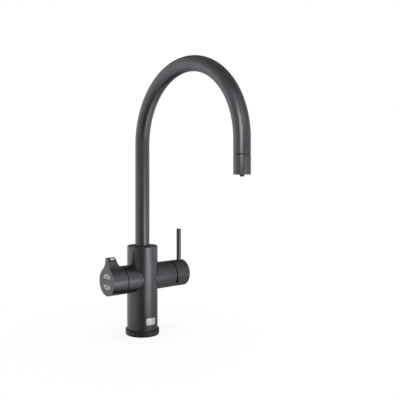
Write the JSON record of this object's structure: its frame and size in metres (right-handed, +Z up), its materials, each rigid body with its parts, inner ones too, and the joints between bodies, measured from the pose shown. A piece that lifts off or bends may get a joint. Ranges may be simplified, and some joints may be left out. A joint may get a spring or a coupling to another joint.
{
  "type": "boiling water tap",
  "caption": "Worktop tap for boiling, chilled and mixed water: round column, swivelling gooseneck spout, teardrop dial with pads and safety button on the left, lever mixer on the right.",
  "frame": {"origin": "where the column's axis meets the worktop's surface", "axes": "+Z up along the column, -Y towards the user, where the spout points at rest, +X towards the mixer, -X towards the dial"},
  "size_m": [0.1459, 0.2599, 0.4991],
  "materials": {
    "matt_black_metal": "fine matt black powder coat, slightly satin",
    "black_plastic": "moulded, matt",
    "pad_plastic": "moulded light grey, satin",
    "silver_plating": "satin silver plating",
    "chrome_plating": "polished chrome",
    "black_rubber": "moulded EPDM, matt",
    "brass": "machined brass",
    "steel": "turned stainless steel",
    "white_plastic": "moulded acetal",
    "ceramic": "lapped alumina",
    "copper": "drawn copper tube",
    "circuit_board": "green solder resist"
  },
  "bodies": {
    "tap_body": {"column_body": "matt_black_metal", "top_collar": "black_plastic", "base_ring": "matt_black_metal", "column_seal_ring": "black_rubber", "base_gasket": "black_rubber", "column_foot": "brass", "threaded_shank": "brass", "rubber_washer": "black_rubber", "clamp_washer": "steel", "shank_nut": "brass", "tail_guide": "white_plastic", "manifold_core": "brass", "hot_tail": "copper", "cold_tail": "copper", "boiling_tail": "copper", "chilled_tail": "copper", "spout_socket": "brass", "spout_bush_lower": "white_plastic", "spout_bush_upper": "white_plastic", "spout_o_ring_lower": "black_rubber", "spout_o_ring_upper": "black_rubber", "badge_plate": "chrome_plating", "left_boss": "matt_black_metal", "dial_bearing": "black_plastic", "sensor_board": "circuit_board", "right_boss": "matt_black_metal", "cartridge_base": "white_plastic", "cartridge_housing": "white_plastic", "fixed_ceramic_disc": "ceramic", "cartridge_nut": "brass"},
    "spout": {"spout_tube": "matt_black_metal", "spout_retaining_ring": "steel", "boiling_tube": "white_plastic", "nozzle_sleeve": "matt_black_metal", "nozzle_o_ring": "black_rubber", "flow_straightener": "black_plastic", "jet_nozzle": "black_plastic"},
    "dial": {"dial_knob": "matt_black_metal", "dial_hub": "black_plastic", "dial_spindle": "steel", "spindle_clip": "steel", "magnet_holder": "black_plastic", "switch_board": "circuit_board", "upper_switch": "white_plastic", "lower_switch": "white_plastic", "safety_spring": "steel", "safety_bezel": "black_plastic"},
    "upper_pad": {"upper_pad": "pad_plastic"},
    "lower_pad": {"lower_pad": "pad_plastic"},
    "safety_button": {"safety_button": "silver_plating"},
    "mixer_rotor": {"cartridge_rotor": "black_plastic", "stem_pin": "steel"},
    "valve_disc": {"moving_ceramic_disc": "ceramic", "disc_coupler": "white_plastic"},
    "mixer_lever": {"cartridge_stem": "steel", "mixer_cap": "matt_black_metal", "lever_rod": "matt_black_metal", "cap_grub_screw": "steel"}
  },
  "joints": [
    {"name": "spout_swivel", "type": "hinge", "parent": "tap_body", "child": "spout", "pos_m": [0, 0, 0.12], "axis": [0, 0, 1], "range_deg": [-75, 75]},
    {"name": "dial_turn", "type": "hinge", "parent": "tap_body", "child": "dial", "pos_m": [-0.04, 0, 0.088], "axis": [1, 0, 0], "range_deg": [-45, 45]},
    {"name": "upper_pad_press", "type": "slide", "parent": "dial", "child": "upper_pad", "axis": [1, 0, 0], "range_m": [0, 0.0008], "stiffness_N_per_m": 1800, "springref_m": -0.0003},
    {"name": "lower_pad_press", "type": "slide", "parent": "dial", "child": "lower_pad", "axis": [1, 0, 0], "range_m": [0, 0.0008], "stiffness_N_per_m": 1800, "springref_m": -0.0003},
    {"name": "safety_button_press", "type": "slide", "parent": "dial", "child": "safety_button", "axis": [0, 0, -1], "range_m": [0, 0.0012], "stiffness_N_per_m": 900, "springref_m": -0.001, "deforming": ["safety_spring"]},
    {"name": "mixer_temperature", "type": "hinge", "parent": "tap_body", "child": "mixer_rotor", "pos_m": [0.042, 0, 0.088], "axis": [1, 0, 0], "range_deg": [-45, 45]},
    {"name": "mixer_flow", "type": "hinge", "parent": "mixer_rotor", "child": "mixer_lever", "pos_m": [0.042, 0, 0.088], "axis": [0, 1, 0], "range_deg": [0, 16]},
    {"name": "valve_disc_slide", "type": "slide", "parent": "mixer_rotor", "child": "valve_disc", "axis": [0, 0, 1], "range_m": [0, 0.00375]}
  ],
  "couplings": [
    {"joint": "valve_disc_slide", "follows": "mixer_flow", "m_per_rad": 0.0134}
  ]
}
